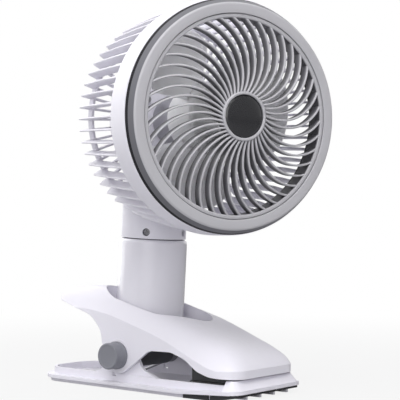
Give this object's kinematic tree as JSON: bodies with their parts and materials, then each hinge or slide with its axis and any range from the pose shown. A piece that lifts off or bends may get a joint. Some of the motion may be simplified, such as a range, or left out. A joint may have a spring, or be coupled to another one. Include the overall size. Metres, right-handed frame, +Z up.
{
  "type": "clip fan",
  "caption": "Portable clip-on fan: caged head on a swivelling neck, tilting column and a sprung clamp with rubber pads and a round tilt knob.",
  "frame": {"origin": "on the plane the clamp stands on, straight below the middle of the pivot pin", "axes": "+Z up, the clamp's jaws open towards -Y, X across the clamp with the knob at -X"},
  "size_m": [0.1611, 0.2175, 0.2484],
  "materials": {
    "white_plastic": "satin",
    "gloss_white": "glossy",
    "grey_plastic": "satin",
    "knob_plastic": "satin",
    "grille_plastic": "satin",
    "badge_plastic": "satin",
    "blade_plastic": "satin",
    "inner_plastic": "matte",
    "black_rubber": "matte",
    "screw_steel": "satin",
    "bright_steel": "satin",
    "spring_steel": "satin",
    "rotor_steel": "satin",
    "bronze": "satin",
    "magnet": "matte",
    "cell_wrap": "satin",
    "board_green": "satin"
  },
  "bodies": {
    "base": {"lower_jaw": "white_plastic", "lower_cover": "white_plastic", "cover_screws": "screw_steel", "rubber_feet": "black_rubber", "lower_grip_pad": "black_rubber", "pivot_pin": "bright_steel", "torsion_springs": "spring_steel", "pivot_cap": "grey_plastic"},
    "upper": {"upper_jaw": "white_plastic", "upper_grip_pad": "black_rubber"},
    "knob": {"tilt_knob": "knob_plastic"},
    "column": {"column_shell": "gloss_white", "column_foot": "inner_plastic", "foot_screws": "screw_steel", "battery_cradle": "inner_plastic", "battery_cells": "cell_wrap", "charge_board": "board_green", "usb_socket": "bright_steel", "tact_switch": "inner_plastic"},
    "button": {"power_button": "knob_plastic"},
    "head": {"swivel_post": "inner_plastic", "swivel_clip": "spring_steel", "neck_front": "white_plastic", "neck_rear": "white_plastic", "neck_screws": "screw_steel", "housing_screws": "screw_steel", "rear_cage": "white_plastic", "cage_screws": "screw_steel", "front_bezel": "grey_plastic", "front_grille": "grille_plastic", "hub_badge": "badge_plastic", "motor_can": "bright_steel", "motor_bearings": "bronze", "motor_magnets": "magnet", "motor_screws": "screw_steel"},
    "rotor": {"motor_rotor": "rotor_steel", "motor_shaft": "bright_steel", "impeller": "blade_plastic"}
  },
  "joints": [
    {"name": "jaw_open", "type": "hinge", "parent": "base", "child": "upper", "pos_m": [0, 0, 0.0225], "axis": [-1, 0, 0], "range_deg": [0, 28], "stiffness_Nm_per_rad": 1.2, "springref_deg": -45.84, "deforming": ["torsion_springs"]},
    {"name": "knob_turn", "type": "hinge", "parent": "upper", "child": "knob", "pos_m": [0, 0, 0.0225], "axis": [-1, 0, 0], "range_deg": [0, 360]},
    {"name": "stem_tilt", "type": "hinge", "parent": "upper", "child": "column", "pos_m": [0, 0, 0.0225], "axis": [1, 0, 0], "range_deg": [-7, 34]},
    {"name": "button_press", "type": "slide", "parent": "column", "child": "button", "axis": [0, -0.9981, -0.061], "range_m": [0, 0.0006], "stiffness_N_per_m": 800, "springref_m": -0.0008},
    {"name": "head_swivel", "type": "hinge", "parent": "column", "child": "head", "pos_m": [0, -0.00474, 0.10006], "axis": [0, -0.061, 0.9981], "range_deg": [-66, 114]},
    {"name": "blade_spin", "type": "hinge", "parent": "head", "child": "rotor", "pos_m": [0, -0.00964, 0.1801], "axis": [-0.4067, -0.9118, -0.0558], "continuous": true}
  ]
}
